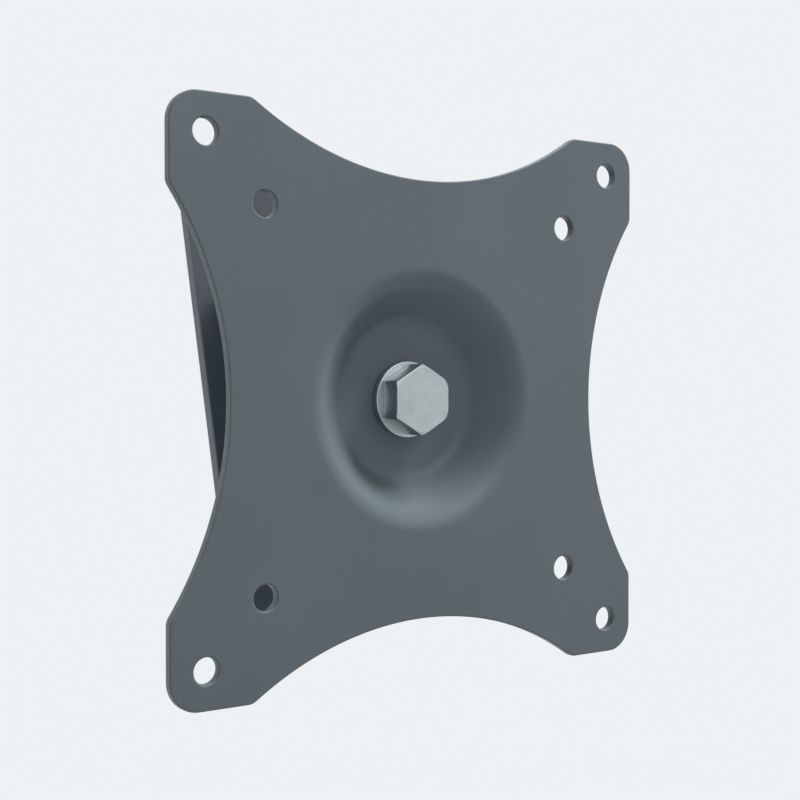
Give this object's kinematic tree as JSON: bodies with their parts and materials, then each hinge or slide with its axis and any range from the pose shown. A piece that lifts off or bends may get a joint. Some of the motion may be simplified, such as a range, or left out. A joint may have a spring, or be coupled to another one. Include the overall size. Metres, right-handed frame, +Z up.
{
  "type": "tv mount",
  "caption": "Low tilting wall mount: scalloped square face plate with a pressed dish, turning on a centre bolt, on a folded bracket that tilts in a wall yoke.",
  "frame": {"origin": "middle of the wall plate's back face, at the centre of its four screw holes", "axes": "+Y into the wall, +Z up, +X to the right as seen from the front; the head leans 15 degrees forward about +X, against its stop"},
  "size_m": [0.115, 0.0647, 0.1237],
  "materials": {
    "powder_coat": "slate grey powder coat, fine satin texture",
    "zinc": "pale zinc plating, satin",
    "black_nylon": "matte black nylon",
    "white_nylon": "matte natural nylon"
  },
  "bodies": {
    "wall": {"wall_plate": "powder_coat", "wall_yoke": "powder_coat", "pivot_bolt": "zinc", "pivot_head_washer": "zinc", "pivot_nut_washer": "zinc", "pivot_nut": "zinc", "pivot_nut_insert": "white_nylon", "pivot_friction_left": "black_nylon", "pivot_friction_right": "black_nylon"},
    "head": {"tilt_bracket": "powder_coat", "pivot_sleeve": "zinc", "lock_bolt": "zinc", "lock_head_washer": "zinc", "lock_nut_washer": "zinc", "lock_nut": "zinc", "lock_nut_insert": "white_nylon", "lock_sleeve": "zinc", "lock_friction_left": "black_nylon", "lock_friction_right": "black_nylon", "friction_disc": "black_nylon", "centre_bolt": "zinc", "centre_washer": "zinc", "rear_washer": "zinc", "disc_spring": "zinc", "centre_nut": "zinc", "centre_nut_insert": "white_nylon"},
    "plate": {"face_plate": "powder_coat"}
  },
  "joints": [
    {"name": "tilt", "type": "hinge", "parent": "wall", "child": "head", "pos_m": [0, -0.0195, -0.007], "axis": [1, 0, 0], "range_deg": [-30, 0]},
    {"name": "turn", "type": "hinge", "parent": "head", "child": "plate", "pos_m": [0, -0.04983, -0.01513], "axis": [0, -0.9659, -0.2588], "continuous": true}
  ]
}
